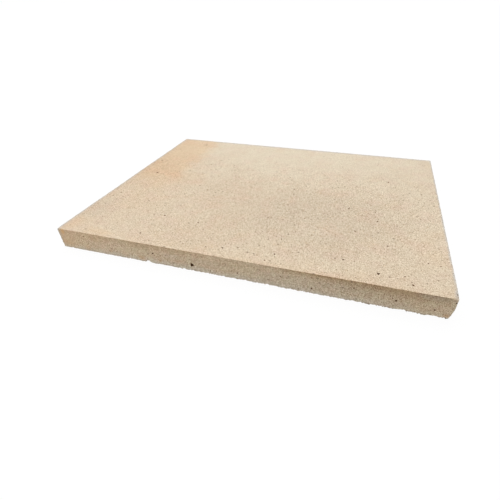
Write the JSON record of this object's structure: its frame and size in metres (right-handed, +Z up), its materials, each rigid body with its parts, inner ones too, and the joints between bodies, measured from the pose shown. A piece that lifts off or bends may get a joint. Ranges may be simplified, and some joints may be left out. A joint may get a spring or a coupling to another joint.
{
  "type": "refractory firebrick slab",
  "caption": "Flat rectangular fireclay slab with eased arrises and a pale buff, speckled and finely pitted surface, laid as a heat-proof floor or lining in hearths, stoves and ovens.",
  "frame": {"origin": "centre of the bed face, the underside that the slab lies on", "axes": "+X along the length, +Y along the width from the front edge face to the back one, +Z up through the thickness"},
  "size_m": [0.5, 0.4, 0.03],
  "materials": {
    "fireclay": "matte"
  },
  "bodies": {
    "root": {"firebrick_slab": "fireclay"}
  },
  "joints": []
}
